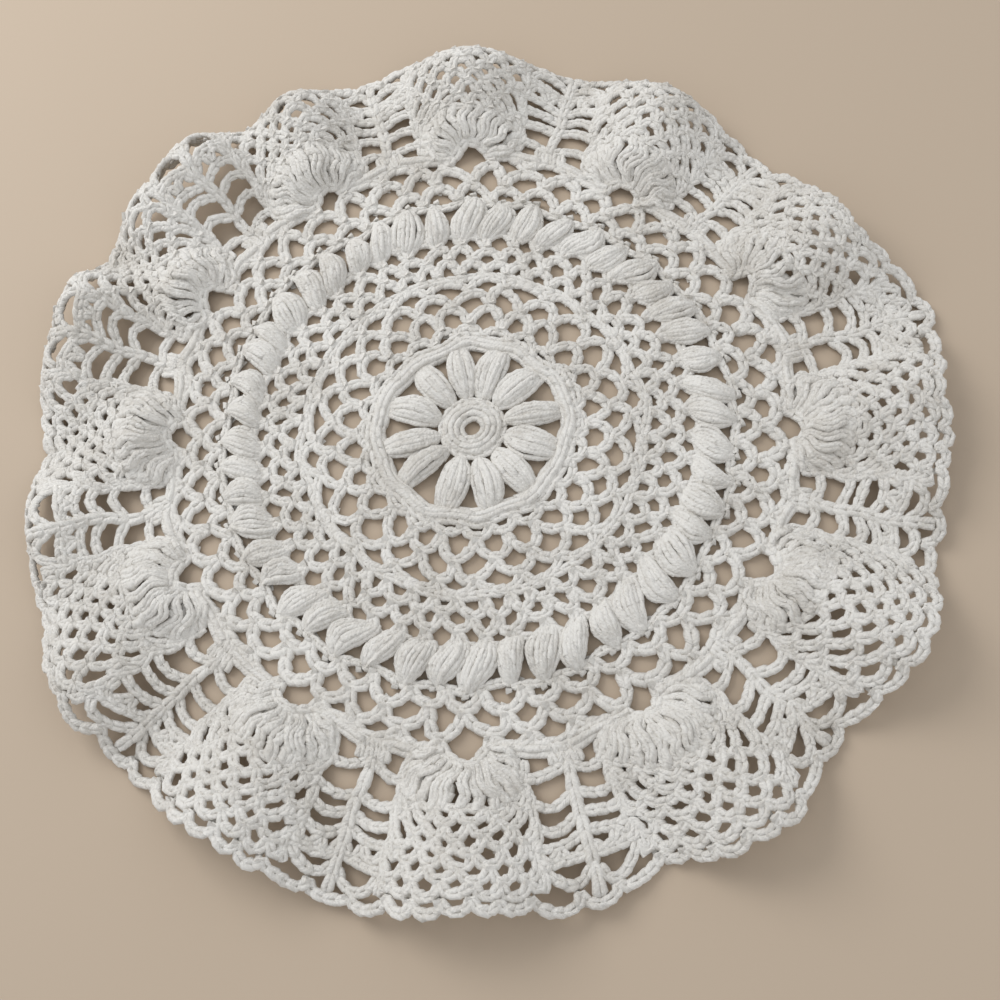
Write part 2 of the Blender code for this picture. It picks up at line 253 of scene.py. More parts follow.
def close_yarn(name):
    """Fills the open ends, turns the faces outwards and lets the mesh keep its place."""
    bpy.ops.mesh.select_all(action="SELECT")
    bpy.ops.mesh.fill_holes(sides=MOST_SIDES)
    bpy.ops.mesh.normals_make_consistent(inside=False)
    bpy.ops.object.mode_set(mode="OBJECT")
    bpy.ops.object.transform_apply(location=True, rotation=True, scale=True)
    bpy.context.object.name = name
    return bpy.context.object


Stitch = namedtuple("Stitch", "points corners sizes length turns")


def keep_stitch(piece, length, sides):
    """Takes the finished mesh as arrays, to copy from, and puts the model away."""
    mesh = piece.data
    points = np.array([point.co[:] for point in mesh.vertices])
    turns = 2 * math.pi / sides * (np.arange(len(points)) % sides)
    points[:, 0] /= length
    corners = np.array([corner.vertex_index for corner in mesh.loops])
    sizes = np.array([face.loop_total for face in mesh.polygons])
    print(piece.name, "has", len(points), "points and", len(sizes), "faces")
    bpy.data.objects.remove(piece, do_unlink=True)
    return Stitch(points, corners, sizes, length, turns)


# %% [markdown]
# ## The chain stitch
# Each chain is a small drawn-out loop, and from above its two legs make a V whose point comes
# out on top of the last V. We pull one leg along four places, swelling in the middle and diving
# as it thins at its end, and mirror it for the other leg. The row of Vs then gives the braided,
# bumpy edge that crochet has and a plain cord lacks.

# %% Chain
CHAIN_LENGTH = 0.0036
LegStep = namedtuple("LegStep", "along across up size")
CHAIN_LEG = (
    LegStep(-0.0008, 0.00030, 0.00016, 0.94),
    LegStep(0.0008, 0.00064, 0.00032, 1.06),
    LegStep(0.0025, 0.00086, 0.00014, 1.04),
    LegStep(0.0041, 0.00056, -0.00022, 0.92),
)
LEG_SIDES = 6


def pull_leg(steps, thickness, sides):
    """One leg of yarn through the steps, turned level with each and sized as it goes."""
    places = [Vector((step.along, step.across, step.up)) for step in steps]
    headings = [math.degrees(math.atan2(b.y - a.y, b.x - a.x)) for a, b in zip(places, places[1:])]
    headings.append(headings[-1])
    start_ring(places[0], headings[0], thickness * steps[0].size, sides)
    bpy.ops.object.mode_set(mode="EDIT")
    for number in range(1, len(places)):
        here = places[number]
        bpy.ops.mesh.extrude_region_move(
            TRANSFORM_OT_translate={"value": here - places[number - 1]}
        )
        turn = math.radians(headings[number] - headings[number - 1])
        bpy.ops.transform.rotate(
            value=-turn, orient_axis="Z", orient_type="GLOBAL", center_override=here
        )
        swell = steps[number].size / steps[number - 1].size
        bpy.ops.transform.resize(value=(swell, swell, swell), center_override=here)


deselect()
pull_leg(CHAIN_LEG, YARN, LEG_SIDES)
chain_model = close_yarn("chain")
mirror = chain_model.modifiers.new("other leg", "MIRROR")
mirror.use_axis = (False, True, False)
mirror.use_mirror_merge = False
bpy.ops.object.modifier_apply(modifier=mirror.name)
CHAIN = keep_stitch(chain_model, CHAIN_LENGTH, LEG_SIDES)

# %% [markdown]
# ## The strand
# Where a bundle of yarn is drawn together, each yarn in it shows by itself. One length of it is
# the simplest stitch of all: a ring pulled through three places, with a little swell between.

# %% Strand
STRAND_LENGTH = 0.0034
STRAND_SIDES = 6
STRAND_STEPS = (
    LegStep(-0.0004, 0.0, -0.00003, 0.97),
    LegStep(0.0017, 0.00006, 0.00006, 1.06),
    LegStep(0.0038, 0.0, -0.00003, 0.97),
)

deselect()
pull_leg(STRAND_STEPS, YARN, STRAND_SIDES)
STRAND = keep_stitch(close_yarn("strand"), STRAND_LENGTH, STRAND_SIDES)

# %% [markdown]
# ## The knot
# Every loop of lace hangs on the one below it by a knot: the yarn goes over the lower chain
# and back under it. One ring of yarn, spun two thirds of the way round the chain, is enough,
# since nobody sees the rest.

# %% Knot
KNOT_LENGTH = 0.0017
KNOT_REACH = 0.00145
KNOT_START = -25
KNOT_SPIN = 230
KNOT_STEPS = 5
KNOT_FLATTEN = 0.9
KNOT_SIDES = 5

deselect()
knot_start = math.radians(KNOT_START)
bpy.ops.mesh.primitive_circle_add(
    vertices=KNOT_SIDES,
    radius=YARN / 2,
    location=(0, KNOT_REACH * math.cos(knot_start), KNOT_REACH * math.sin(knot_start)),
    rotation=(knot_start, 0, 0),
)
bpy.ops.object.mode_set(mode="EDIT")
bpy.ops.mesh.select_all(action="SELECT")
bpy.ops.mesh.spin(
    steps=KNOT_STEPS, angle=math.radians(KNOT_SPIN), center=(0, 0, 0), axis=(1, 0, 0)
)
bpy.ops.mesh.select_all(action="SELECT")
bpy.ops.transform.resize(value=(1, 1, KNOT_FLATTEN), center_override=(0, 0, 0))
KNOT = keep_stitch(close_yarn("knot"), KNOT_LENGTH, KNOT_SIDES)

# %% [markdown]
# ## Laying stitches along the lace
# A path is a row of chart places and how high the yarn lies over each. We drape it, measure
# it, and see how many whole stitches fit. Each point of a stitch then goes along the path by
# its X, across it by its Y and out of the cloth by its Z. Hands are never quite even, so each
# copy is a little wider or narrower than the last and leans a little, and the chart itself
# wanders by about a millimetre.

# %% Stitch layer
YARN_LIFT = 0.0016
UNEVEN_WIDTH = 0.09
UNEVEN_PLACE = 0.05
UNEVEN_LEAN = 9.0
UNEVEN_COUNT = 0.45
PAST_END = 0.0003
WANDER = 0.0008
WANDER_IN_MIDDLE = 0.3
STEADY_MM = 20
LOOSE_MM = 60


def wander(places):
    """Chart places, moved a little, and near ones alike, so that joined yarns stay joined."""
    # Uneven waves, 2 to 7 cm long, so that no pattern shows in them.
    x, y = places[..., 0] * 1000, places[..., 1] * 1000
    east = np.sin(x / 5.1 + 1.7 * np.sin(y / 7.3)) + 0.6 * np.sin(y / 3.7 + x / 11.0)
    north = np.sin(y / 4.7 + 1.9 * np.sin(x / 6.9)) + 0.6 * np.sin(x / 4.1 - y / 9.0)
    loose = ease(np.hypot(x, y), STEADY_MM, LOOSE_MM)[..., None]
    share = WANDER_IN_MIDDLE + (1 - WANDER_IN_MIDDLE) * loose
    return places + WANDER * share * np.stack([east, north], axis=-1)


def on_cloth(places, lift):
    """Chart places draped and lifted, with the direction out of the cloth at each."""
    flat = wander(places).reshape(-1, 2)
    out = upright(flat)
    raised = np.broadcast_to(lift, places.shape[:-1]).reshape(-1, 1)
    laid = lay(flat) + out * raised + MIDDLE
    return laid.reshape(*places.shape[:-1], 3), out.reshape(*places.shape[:-1], 3)


class Work:
    """A piece of the lace while it is being worked: the stitches laid so far."""

    def __init__(self, name):
        self.name = name
        self.points, self.corners, self.sizes, self.tones, self.twists = [], [], [], [], []
        self.count = 0
        self.stitches = 0

    def add(self, points, stitch, copies, tone, along):
        """Adds copies of a stitch, whose points are in place, along metres down the yarn."""
        first = self.count + len(stitch.points) * np.arange(copies)
        self.points.append(points.reshape(-1, 3))
        self.corners.append((first[:, None] + stitch.corners[None, :]).ravel())
        self.sizes.append(np.tile(stitch.sizes, copies))
        self.tones.append(np.repeat(tone, len(stitch.points)))
        turns = np.broadcast_to(stitch.turns, along.shape)
        twist = np.stack([np.cos(turns), np.sin(turns), 1000 * along], axis=-1)
        self.twists.append(twist.reshape(-1, 3))
        self.count += copies * len(stitch.points)
        self.stitches += copies


def unit(values):
    """The same directions, each one long."""
    return values / np.maximum(np.linalg.norm(values, axis=-1, keepdims=True), 1e-9)


def lay_one(work, stitch, line, out, width, count):
    """Lays count stitches along one draped line, width wide or of two widths, start and end."""
    start_width, end_width = np.broadcast_to(width, 2)
    width = (start_width + end_width) / 2
    steps = np.linalg.norm(np.diff(line, axis=0), axis=1)
    walked = np.concatenate([[0.0], np.cumsum(steps)])
    length = walked[-1]
    if count is None:
        fitting = length / (stitch.length * width)
        count = max(1, round(fitting + chance.uniform(-UNEVEN_COUNT, UNEVEN_COUNT)))
    pitch = length / count
    size = 1 + UNEVEN_WIDTH * chance.uniform(-1, 1, count)
    size = size * np.linspace(start_width, end_width, count)
    shift = UNEVEN_PLACE * chance.uniform(-1, 1, count)
    lean = np.radians(UNEVEN_LEAN) * chance.uniform(-1, 1, count)
    tone = chance.uniform(-1, 1, count)

    along = (np.arange(count)[:, None] + shift[:, None] + stitch.points[None, :, 0]) * pitch
    along = np.clip(along, -PAST_END, length + PAST_END)
    across = stitch.points[None, :, 1] * size[:, None]
    up = stitch.points[None, :, 2] * size[:, None]
    across, up = (
        across * np.cos(lean)[:, None] - up * np.sin(lean)[:, None],
        across * np.sin(lean)[:, None] + up * np.cos(lean)[:, None],
    )
    heading = unit(np.gradient(line, walked, axis=0))
    side = unit(np.cross(out, heading))
    face = np.cross(heading, side)

    def read(values):
        return np.stack([np.interp(along, walked, values[:, axis]) for axis in range(3)], axis=-1)

    past = along - np.clip(along, 0, length)
    places = read(line) + read(heading) * past[..., None]
    places += read(side) * across[..., None] + read(face) * up[..., None]
    work.add(places, stitch, count, tone, along)


def lay_stitches(work, stitch, places, lift=YARN_LIFT, width=1.0, count=None):
    """Lays a stitch along each of many chart paths, an array of path, place and (x, y)."""
    lines, outs = on_cloth(places, lift)
    for line, out in zip(lines, outs):
        lay_one(work, stitch, line, out, width, count)


# %% [markdown]
# ## Undyed cotton
# Crochet cotton is four thin plies twisted together, so fine slanting grooves run round each
# yarn. Each point knows its turn about the yarn and how far along it lies, and a sine of the
# two draws the plies with no seam. The sine makes the bump of the plies and also paints a
# little shade into the colour, with the grooves darker and the crests lighter. Noises add broad
# soft patches, the speckle of matt cotton and its fibres.

# %% Cotton
COTTON_LIGHT = (0.80, 0.775, 0.73, 1.0)
COTTON_DARK = (0.60, 0.567, 0.515, 1.0)
PLIES = 4
PLY_PITCH_MM = 5.5
Noise = namedtuple("Noise", "scale detail")
PATCHES = Noise(38, 2)
SPECKLE = Noise(850, 3)
FIBRES = Noise(2600, 3)
SHADE_TONE = 0.10
SHADE_SPECKLE = 0.75
# painted shade: how much the ply grooves are darkened, and their crests lightened, in the colour
PAINTED_PLY_SHADE = 0.03
DARK_END = 0.55
RELIEF_SPECKLE = 0.9
RELIEF_PLIES = 0.16
RELIEF_STRENGTH = 0.7
RELIEF_DEPTH = 0.0005


def cotton_yarn():
    """The material of all the yarn."""
    material = bpy.data.materials.new("cotton yarn")
    material.use_nodes = True
    nodes, links = material.node_tree.nodes, material.node_tree.links
    shader = nodes["Principled BSDF"]
    shader.inputs["Roughness"].default_value = 0.95
    shader.inputs["Specular IOR Level"].default_value = 0.15
    shader.inputs["Sheen Weight"].default_value = 0.1
    shader.inputs["Sheen Roughness"].default_value = 0.6

    def maths(operation, first, second=None, third=None):
        """A maths node fed by sockets or numbers."""
        node = nodes.new("ShaderNodeMath")
        node.operation = operation
        for socket, value in zip(node.inputs, (first, second, third)):
            if isinstance(value, (int, float)):
                socket.default_value = value
            elif value is not None:
                links.new(value, socket)
        return node.outputs[0]

    def noise(kind):
        """Soft noise on the object's own coordinates."""
        node = nodes.new("ShaderNodeTexNoise")
        node.inputs["Scale"].default_value = kind.scale
        node.inputs["Detail"].default_value = kind.detail
        links.new(where.outputs["Object"], node.inputs["Vector"])
        return node.outputs["Fac"]

    where = nodes.new("ShaderNodeTexCoord")
    patches, speckle, fibres = noise(PATCHES), noise(SPECKLE), noise(FIBRES)
    tone = nodes.new("ShaderNodeAttribute")
    tone.attribute_name = "tone"
    twist = nodes.new("ShaderNodeAttribute")
    twist.attribute_name = "twist"
    split = nodes.new("ShaderNodeSeparateXYZ")
    links.new(twist.outputs["Vector"], split.inputs[0])
    turn = maths("ARCTAN2", split.outputs["Y"], split.outputs["X"])
    along = maths("MULTIPLY", split.outputs["Z"], 2 * math.pi * PLIES / PLY_PITCH_MM)
    plies = maths("SINE", maths("MULTIPLY_ADD", turn, PLIES, along))

    shade = maths("MULTIPLY_ADD", tone.outputs["Fac"], SHADE_TONE, patches)
    shade = maths("MULTIPLY_ADD", speckle, SHADE_SPECKLE, shade)
    # painted shade: darker colour in the ply grooves, lighter on their crests
    shade = maths("MULTIPLY_ADD", plies, PAINTED_PLY_SHADE, shade)
    colour = nodes.new("ShaderNodeValToRGB")
    dark, light = colour.color_ramp.elements
    dark.position, dark.color = DARK_END, COTTON_DARK
    light.position, light.color = 1.0, COTTON_LIGHT
    links.new(shade, colour.inputs["Fac"])
    links.new(colour.outputs["Color"], shader.inputs["Base Color"])

    height = maths("MULTIPLY_ADD", speckle, RELIEF_SPECKLE, fibres)
    height = maths("MULTIPLY_ADD", plies, RELIEF_PLIES, height)
    bump = nodes.new("ShaderNodeBump")
    bump.inputs["Strength"].default_value = RELIEF_STRENGTH
    bump.inputs["Distance"].default_value = RELIEF_DEPTH
    links.new(height, bump.inputs["Height"])
    links.new(bump.outputs["Normal"], shader.inputs["Normal"])
    return material


COTTON = cotton_yarn()

# %% [markdown]
# ## Finishing a piece
# A piece of work becomes one joined mesh. Edges that turn sharply stay crisp and the rest is
# smooth, and the piece rides on the doily's body in place of the plain solid.

# %% Finisher
CRISP = 80
LUMPS = 0.00013
pieces = []


def lumpy(points):
    """Points moved a little by soft waves of 2 to 5 mm, since handmade yarn is never even."""
    x, y, z = (points * 1000).T
    waves = [
        np.sin(3.1 * x + 1.3 * np.sin(1.7 * y + z)) + np.sin(1.3 * y - 2.3 * z + x),
        np.sin(2.9 * y + 1.4 * np.sin(1.9 * z + x)) + np.sin(1.5 * z - 2.1 * x + y),
        np.sin(3.3 * z + 1.5 * np.sin(1.8 * x + y)) + np.sin(1.4 * x - 2.2 * y + z),
    ]
    return points + LUMPS * np.stack(waves, axis=1)


def finish_work(work):
    """Turns the laid stitches into one mesh that stands for the solid."""
    points = lumpy(np.concatenate(work.points))
    points[:, 2] = np.maximum(points[:, 2], 0.0)  # no yarn goes below the surface
    corners = np.concatenate(work.corners)
    sizes = np.concatenate(work.sizes)
    mesh = bpy.data.meshes.new(work.name)
    mesh.vertices.add(len(points))
    mesh.vertices.foreach_set("co", points.astype(np.float32).ravel())
    mesh.loops.add(len(corners))
    mesh.loops.foreach_set("vertex_index", corners.astype(np.int32))
    mesh.polygons.add(len(sizes))
    starts = np.concatenate([[0], np.cumsum(sizes)[:-1]])
    mesh.polygons.foreach_set("loop_start", starts.astype(np.int32))
    mesh.update(calc_edges=True)
    tone = mesh.attributes.new("tone", "FLOAT", "POINT")
    tone.data.foreach_set("value", np.concatenate(work.tones).astype(np.float32))
    twist = mesh.attributes.new("twist", "FLOAT_VECTOR", "POINT")
    twist.data.foreach_set("vector", np.concatenate(work.twists).astype(np.float32).ravel())
    mesh.materials.append(COTTON)
    mesh.shade_smooth()
    mesh.set_sharp_from_angle(angle=math.radians(CRISP))
    piece = bpy.data.objects.new(work.name, mesh)
    bpy.context.collection.objects.link(piece)
    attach(piece, "root")
    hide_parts("doily")
    pieces.append(piece)
    triangles = int((sizes - 2).sum())
    print(f"{work.name}: {work.stitches} stitches, {triangles} triangles")
    return piece


# %% [markdown]
# ## The rosette in the middle
# The doily starts from a small ring of yarn, filled with close stitches. Its rounds show as
# low smooth ridges: a rim about the hole and three more, each a little higher or lower than
# the last, and then a row of chains. Close stitches hide their own shape, so each ridge is
# laid as one thick strand.

# %% Ring and close middle
def circle(radius, places=97):
    """One closed path round the middle."""
    return polar(np.full(places, radius), np.linspace(0, 360, places))[None]


rosette = Work("rosette")
Rim = namedtuple("Rim", "radius lift width stitch")
RIMS = (
    Rim(0.0041, 0.0004, 1.25, STRAND),
    Rim(0.0060, 0.0013, 1.20, STRAND),
    Rim(0.0079, 0.0016, 1.20, STRAND),
    Rim(0.0097, 0.0011, 1.20, STRAND),
    Rim(0.0113, 0.0002, 0.90, CHAIN),
)
for rim in RIMS:
    lay_stitches(rosette, rim.stitch, circle(rim.radius), YARN_LIFT + rim.lift, rim.width)

# %% [markdown]
# ## Twelve petals
# A petal is a handful of posts worked into one place and drawn together at the top, so it
# swells in the middle and stands up. Eight arched strands lie side by side in each, and a row
# of half widths, from foot to tip, gives its outline. No two come off the hook alike, so each
# petal has its own small turn, width and height, and each strand its own small bend.

# %% Petals
PETAL_ANGLE = 11.0
PETAL_TURN = 1.2
LUMP_STRANDS = 8
LUMP_ROUND = 0.88
LUMP_BLUNT = 0.7
LUMP_END = 0.02
Hand = namedtuple("Hand", "width place lean bend strand length height")
HAND = Hand(
    width=0.22,
    place=0.0007,
    lean=0.0014,
    bend=0.0012,
    strand=0.0005,
    length=0.04,
    height=0.2,
)
Lump = namedtuple("Lump", "foot tip halves hook height uneven width")
PETAL = Lump(
    foot=0.0128,
    tip=0.0333,
    halves=(0.0010, 0.0027, 0.0040, 0.0046, 0.0048, 0.0047, 0.0043, 0.0036, 0.0028),
    hook=0.0,
    height=0.0042,
    uneven=0.9,
    width=1.08,
)


def lay_lumps(work, lump, middles):
    """Plump stitches at these angles. Their feet stand a hook's length to one side."""
    share = np.linspace(0, 1, len(lump.halves))
    side = np.linspace(-1, 1, LUMP_STRANDS)

    def uneven(amount, rows=1):
        """A small change of its own for each plump stitch, or for each strand of it."""
        return lump.uneven * amount * chance.uniform(-1, 1, (len(middles), rows, 1))

    bow = np.sin(math.pi * share)
    across = side[:, None] * np.array(lump.halves) * (1 + uneven(HAND.width))
    across = across + uneven(HAND.place) + uneven(HAND.lean) * share
    across = across + uneven(HAND.bend) * bow + lump.hook * (1 - share) ** 2
    across = across + uneven(HAND.strand, LUMP_STRANDS) * bow
    radius = lump.foot + (lump.tip - lump.foot) * share * (1 + uneven(HAND.length))
    radius = np.broadcast_to(radius, across.shape)
    angle = middles[:, None, None] + np.degrees(across / radius)
    round_across = np.sqrt(1 - (LUMP_ROUND * side[:, None]) ** 2)
    inner_share = np.clip(share * (1 + 2 * LUMP_END) - LUMP_END, 0, 1)
    round_along = np.sin(math.pi * inner_share) ** LUMP_BLUNT
    rise = lump.height * round_across * round_along * (1 + uneven(HAND.height))
    lift = YARN_LIFT + rise + uneven(HAND.strand, LUMP_STRANDS)
    shape = (-1, len(share))
    places = polar(radius, angle).reshape(*shape, 2)
    lay_stitches(work, STRAND, places, lift.reshape(shape), lump.width)


petal_middles = PETAL_ANGLE + REPEAT * np.arange(REPEATS)
petal_turns = PETAL_TURN * chance.uniform(-1, 1, REPEATS)
lay_lumps(rosette, PETAL, petal_middles + petal_turns)

# %% [markdown]
# ## The ring round the petals
# Short stitches over a chain tie the petals' tips together. From above they make a smooth
# thick rope, drawn in at each petal and bulging between them. Three strands side by side, the
# outer two of them higher, give its round top, and the tops of the stitches show as a chain
# along its outer side.

# %% Rope ring
ROPE = (
    Rim(0.0333, 0.0001, 1.25, STRAND),
    Rim(0.0348, 0.0012, 1.30, STRAND),
    Rim(0.0364, 0.0012, 1.30, STRAND),
    Rim(0.0380, 0.0004, 1.10, CHAIN),
)
ROPE_WAVE = 0.0005

around = np.linspace(0, 360, 181)
turn = np.radians(around)
bulge = ROPE_WAVE * (np.cos(REPEATS * turn - 1.2) + np.sin(2 * turn + 1) + np.sin(5 * turn))
for rim in ROPE:
    line = polar(rim.radius + bulge, around)
    lay_stitches(rosette, rim.stitch, line[None], YARN_LIFT + rim.lift, rim.width)
finish_work(rosette)

# %% [markdown]
# ## Rounds of chain loops
# Net lace is arches on arches: each loop springs from the top of a loop below and reaches to
# the next. One function draws a round from where its feet stand and how high it rises, and a
# table lists the rounds. The feet of each round are the tops of the round before.

# %% Net rounds
Round = namedtuple("Round", "loops foot top foot_angle drift width")
LOOP_LEAN = 0.7
LOOP_RISE = 0.0006
LOOP_END = 0.02
LOOP_POINT = 0.8


def loop_steps(end, places):
    """Turns over an arch from foot to foot, and the share of its width crossed at each."""
    share = np.linspace(end, 1 - end, places)
    turn = math.pi * share
    return turn, (share + (1 - np.cos(turn)) / 2) / 2


def arches(net):
    """The path of each loop of a round: steep at its feet, and drawn to a soft point."""
    spacing = 360 / net.loops
    turn, side = loop_steps(LOOP_END, 11)
    first = net.foot_angle + spacing * np.arange(net.loops)
    lean = net.drift + LOOP_LEAN * chance.uniform(-1, 1, (net.loops, 1))
    tops = net.top + LOOP_RISE * chance.uniform(-1, 1, (net.loops, 1))
    angle = first[:, None] + spacing * side + lean * np.sin(turn)
    radius = net.foot + (tops - net.foot) * np.sin(turn) ** LOOP_POINT
    return polar(radius, angle)


def knots(radius, angles, places=3):
    """Short paths along the round, one for the knot at each foot."""
    half = np.degrees(KNOT_LENGTH / radius)
    along = np.linspace(-half, half, places)
    return polar(np.full((len(angles), places), radius), np.asarray(angles)[:, None] + along)


def net_round(work, net):
    """A round of loops with a knot at every foot."""
    lay_stitches(work, CHAIN, arches(net), YARN_LIFT, net.width)
    feet = net.foot_angle + 360 / net.loops * np.arange(net.loops)
    lay_stitches(work, KNOT, knots(net.foot, feet), YARN_LIFT, net.width, 1)


INNER_NET = (
    Round(24, 0.0382, 0.0424, -5.5, 0.0, 1.1),
    Round(24, 0.0426, 0.0517, 2.0, 0.3, 1.18),
    Round(24, 0.0519, 0.0592, 9.5, 0.3, 1.18),
    Round(24, 0.0594, 0.0640, 2.5, 0.3, 1.15),
)
inner_net = Work("inner_net")
for net in INNER_NET:
    net_round(inner_net, net)
finish_work(inner_net)

# %% [markdown]
# ## The close net
# Past the wide loops the pattern doubles to forty-eight small ones, three rounds deep, over a
# close round of short stitches. Their gaps are too small for the solid, so here they are
# first seen.

# %% Close net
CLOSE_NET = (
    Round(48, 0.0657, 0.0718, 4.1, 0.1, 1.2),
    Round(48, 0.0720, 0.0783, 0.4, 0.1, 1.2),
    Round(48, 0.0786, 0.0848, 4.2, 0.0, 1.15),
)
CLOSE_ROUND = 0.0649
CLOSE_ROUND_WIDTH = 1.1

close_net = Work("close_net")
close_round = circle(CLOSE_ROUND, places=181)
lay_stitches(close_net, CHAIN, close_round, YARN_LIFT, CLOSE_ROUND_WIDTH)
for net in CLOSE_NET:
    net_round(close_net, net)
finish_work(close_net)

# %% [markdown]
# ## Forty-eight puff stitches
# A puff stitch is a bundle of unfinished posts closed together at the top. Each is a plump
# teardrop that touches its neighbours at the belly. Its tip is drawn in to one chain, and its
# foot stands to one side, between two loops of the round below.

# %% Puff stitches
PUFFS = 48
PUFF_ANGLE = 0.8
PUFF_TURN = 0.6
PUFF = Lump(
    foot=0.0822,
    tip=0.0978,
    halves=(0.0022, 0.0042, 0.0051, 0.0054, 0.0053, 0.0047, 0.0036, 0.0023, 0.0009),
    hook=0.0048,
    height=0.0042,
    uneven=0.7,
    width=1.08,
)

puffs = Work("puff_stitches")
puff_middles = PUFF_ANGLE + 360 / PUFFS * np.arange(PUFFS)
puff_turns = PUFF_TURN * chance.uniform(-1, 1, PUFFS)
lay_lumps(puffs, PUFF, puff_middles + puff_turns)
finish_work(puffs)

# %% [markdown]
# ## The outer net
# A slack chain joins the tips of the puff stitches, and then the loops open again, the widest
# of all. The last round differs by place: flat beside each fan, and a tall round loop at each
# fan's foot.

# %% Outer net
OUTER_NET = (
    Round(48, 0.0985, 0.0973, 0.8, 1.0, 1.0),
    Round(48, 0.0976, 0.1050, 3.4, 0.0, 1.28),
    Round(48, 0.1054, 0.1138, -0.2, 0.0, 1.38),
)
LAST_TOPS = np.tile((0.1250, 0.1182, 0.1192, 0.1182), REPEATS)[:, None]
LAST_ROUND = Round(48, 0.1141, LAST_TOPS, -3.85, 0.0, 1.3)

outer_net = Work("outer_net")
for net in (*OUTER_NET, LAST_ROUND):
    net_round(outer_net, net)
finish_work(outer_net)

# %% [markdown]
# ## Feet of the fans
# From the side of each fan's foot, three long strands run to the valley between two fans and
# close there in a solid block. Drawn tight side by side, they lie as one thick smooth band.

# %% Bands and blocks
Band = namedtuple("Band", "start_radius start_angle end_radius end_angle lift")
BANDS = (
    Band(0.1168, 3.0, 0.1188, 13.6, 0.0002),
    Band(0.1184, 3.3, 0.1206, 13.4, 0.0010),
    Band(0.1201, 3.9, 0.1224, 13.2, 0.0002),
)
BAND_BEND = 1.3
BAND_WIDTH = 1.3
BLOCK_POSTS = 4
BLOCK_HALF = 1.9
BLOCK_INNER = 0.1196
BLOCK_OUTER = 0.1268
BLOCK_WIDTH = 1.1
POST_LIFT = YARN_LIFT + 0.0003
VALLEY = REPEAT / 2


def in_repeats(radius, angle):
    """A path of these distances and angles, repeated for every fan."""
    return polar(radius, REPEAT * np.arange(REPEATS)[:, None] + angle)


feet = Work("fan_feet")
share = np.linspace(0, 1, 7)
for band in BANDS:
    radius = band.start_radius + (band.end_radius - band.start_radius) * share**BAND_BEND
    angle = band.start_angle + (band.end_angle - band.start_angle) * share
    for side in (-1, 1):
        path = in_repeats(radius, side * angle)
        lay_stitches(feet, STRAND, path, YARN_LIFT + band.lift, BAND_WIDTH)
post_radius = np.linspace(BLOCK_INNER, BLOCK_OUTER, 4)
for post in np.linspace(-BLOCK_HALF, BLOCK_HALF, BLOCK_POSTS):
    path = in_repeats(post_radius, np.full(len(post_radius), VALLEY + post))
    lay_stitches(feet, CHAIN, path, POST_LIFT, BLOCK_WIDTH)
finish_work(feet)

# %% [markdown]
# ## The fans
# Fifteen long trebles stand in each tall loop and spread like a shell. Each is a pair of
# yarns, longer than its ground, so the fan puffs up off the cloth and its trebles fall into
# waves side by side, deepest at the fan's sides. Each path leaves the loop square to it and
# ends pointing outwards. A second layer of thicker yarn lies under the first and fills it.

# %% Fan's edge
FAN_SIDE = 0.1236
FAN_TOP = 0.1412
FAN_DROP = 0.0100
FAN_ROUND = 2.5
FAN_HALF = 8.7
NET_HALF = 9.0


def fan_edge(angle):
    """How far out a fan's rounded edge lies, some degrees from the fan's middle."""
    return FAN_TOP - FAN_DROP * np.clip(np.abs(angle) / NET_HALF, 0, 1) ** FAN_ROUND


def fan_ends(spread):
    """Where the trebles end: evenly up one side of the fan, over its edge and down again."""
    up = np.linspace(FAN_SIDE, fan_edge(FAN_HALF), 8, endpoint=False)
    over = np.linspace(-FAN_HALF, FAN_HALF, 41)
    side = np.full(len(up), FAN_HALF)
    angle = np.concatenate([-side, over, side])
    line = polar(np.concatenate([up, fan_edge(over), up[::-1]]), angle)
    walked = np.append(0, np.cumsum(np.linalg.norm(np.diff(line, axis=0), axis=1)))
    place = (spread + 1) / 2 * walked[-1]
    return np.stack([np.interp(place, walked, line[:, axis]) for axis in range(2)], axis=-1)


# %% Trebles
TREBLES = 15
FAN_LOOP_MIDDLE = 0.1184
FAN_LOOP_RADIUS = 0.0062
FAN_LOOP_HALF = 96
TREBLE_PULL = 1.1
TREBLE_LIFT = 0.0016
SPREAD_UNEVEN = 0.025
TOP_UNEVEN = 0.0008
HEAP = 1.3
HEAP_UNEVEN = 0.7
Wave = namedtuple("Wave", "depth middle side uneven turn gather lag lag_uneven fade")
WAVE = Wave(
    depth=0.0015,
    middle=0.8,  # of the depth, in the middle of a fan
    side=0.5,  # more of it, at the fan's sides
    uneven=0.25,
    turn=8.0,  # radians from foot to top
    gather=1.3,  # over 1, the waves draw together outwards
    lag=2.2,  # radians from the middle treble to the last
    lag_uneven=0.6,
    fade=0.8,
)


def square_to(way):
    """The directions a quarter turn to the left of these."""
    return np.stack([-way[..., 1], way[..., 0]], -1)


def smooth_path(foot, foot_way, top, top_way, share):
    """A path from each foot to each top that leaves and arrives in these directions."""
    foot, foot_way, top, top_way = (ends[:, :, None] for ends in (foot, foot_way, top, top_way))
    pull = TREBLE_PULL * np.linalg.norm(top - foot, axis=-1, keepdims=True)
    share = share[:, None]
    line = (2 * share**3 - 3 * share**2 + 1) * foot
    line = line + (share**3 - 2 * share**2 + share) * pull * foot_way
    line = line + (3 * share**2 - 2 * share**3) * top
    return line + (share**3 - share**2) * pull * top_way


